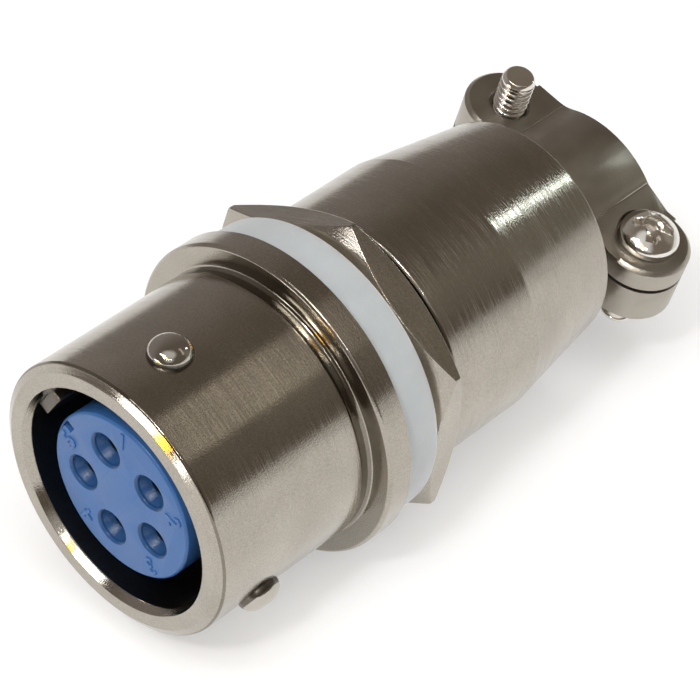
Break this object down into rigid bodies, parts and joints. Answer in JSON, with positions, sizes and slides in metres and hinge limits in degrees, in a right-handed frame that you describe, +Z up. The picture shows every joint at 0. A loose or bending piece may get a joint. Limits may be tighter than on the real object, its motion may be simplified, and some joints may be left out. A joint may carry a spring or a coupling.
{
  "type": "circular connector",
  "caption": "Panel receptacle with bayonet studs, a moulded socket insert, washer, hexagon jam nut, screwed backshell and two-part cable clamp.",
  "frame": {"origin": "on the connector's axis at the rear face of the panel flange, where the panel sits", "axes": "+X along the axis from the mating rim to the cable end, +Z up in the picture, clocking angles turned about +X from +Z towards -Y"},
  "size_m": [0.0487, 0.0232, 0.024],
  "materials": {
    "nickel_turned": "bright satin nickel plate on turned brass, fine lathe lines round the axis",
    "nickel_cast": "satin nickel plate on a casting",
    "nickel_screw": "bright nickel plate",
    "insulator_blue": "moulded mid-blue insulator, light sheen",
    "seal_rubber": "matt black rubber",
    "washer_white": "milky white nylon, slightly translucent",
    "contact_gold": "gold flash on turned brass"
  },
  "bodies": {
    "receptacle": {"receptacle_shell": "nickel_turned", "insert_face_plate": "insulator_blue", "front_insulator": "insulator_blue", "rear_insulator": "insulator_blue", "insert_seal": "seal_rubber", "retaining_ring": "nickel_turned", "bayonet_stud_1": "nickel_screw", "bayonet_stud_2": "nickel_screw", "bayonet_stud_3": "nickel_screw", "socket_contact_1": "contact_gold", "socket_contact_2": "contact_gold", "socket_contact_3": "contact_gold", "socket_contact_4": "contact_gold", "socket_contact_5": "contact_gold"},
    "washer": {"panel_washer": "washer_white"},
    "nut": {"hex_nut": "nickel_turned"},
    "backshell": {"backshell": "nickel_turned"},
    "clamp_lower": {"lower_clamp_half": "nickel_cast"},
    "clamp_upper": {"upper_clamp_half": "nickel_cast"},
    "screw_left": {"left_clamp_screw": "nickel_screw"},
    "screw_right": {"right_clamp_screw": "nickel_screw"}
  },
  "joints": [
    {"name": "washer_slide", "type": "slide", "parent": "receptacle", "child": "washer", "axis": [1, 0, 0], "range_m": [0, 0.00015]},
    {"name": "nut_turn", "type": "hinge", "parent": "washer", "child": "nut", "pos_m": [0.00474, 0, 0], "axis": [1, 0, 0], "range_deg": [0, 54]},
    {"name": "clamp_slide", "type": "slide", "parent": "receptacle", "child": "clamp_lower", "axis": [1, 0, 0], "range_m": [0, 0.006]},
    {"name": "backshell_turn", "type": "hinge", "parent": "clamp_lower", "child": "backshell", "pos_m": [0.0155, 0, 0], "axis": [1, 0, 0], "range_deg": [0, 2160]},
    {"name": "clamp_lift", "type": "slide", "parent": "clamp_lower", "child": "clamp_upper", "axis": [0, -0.2924, 0.9563], "range_m": [0, 0.0009]},
    {"name": "screw_left_turn", "type": "hinge", "parent": "clamp_lower", "child": "screw_left", "pos_m": [0.02966, 0.00679, 0.00208], "axis": [0, 0.2924, -0.9563], "range_deg": [0, 720]},
    {"name": "screw_right_turn", "type": "hinge", "parent": "clamp_upper", "child": "screw_right", "pos_m": [0.02966, -0.00679, -0.00208], "axis": [0, -0.2924, 0.9563], "range_deg": [0, 720]}
  ],
  "couplings": [
    {"joint": "nut_turn", "follows": "washer_slide", "rad_per_m": 6283.2},
    {"joint": "backshell_turn", "follows": "clamp_slide", "rad_per_m": 6283.2},
    {"joint": "screw_left_turn", "follows": "clamp_lift", "rad_per_m": 13963},
    {"joint": "screw_right_turn", "follows": "clamp_lift", "rad_per_m": 13963}
  ]
}
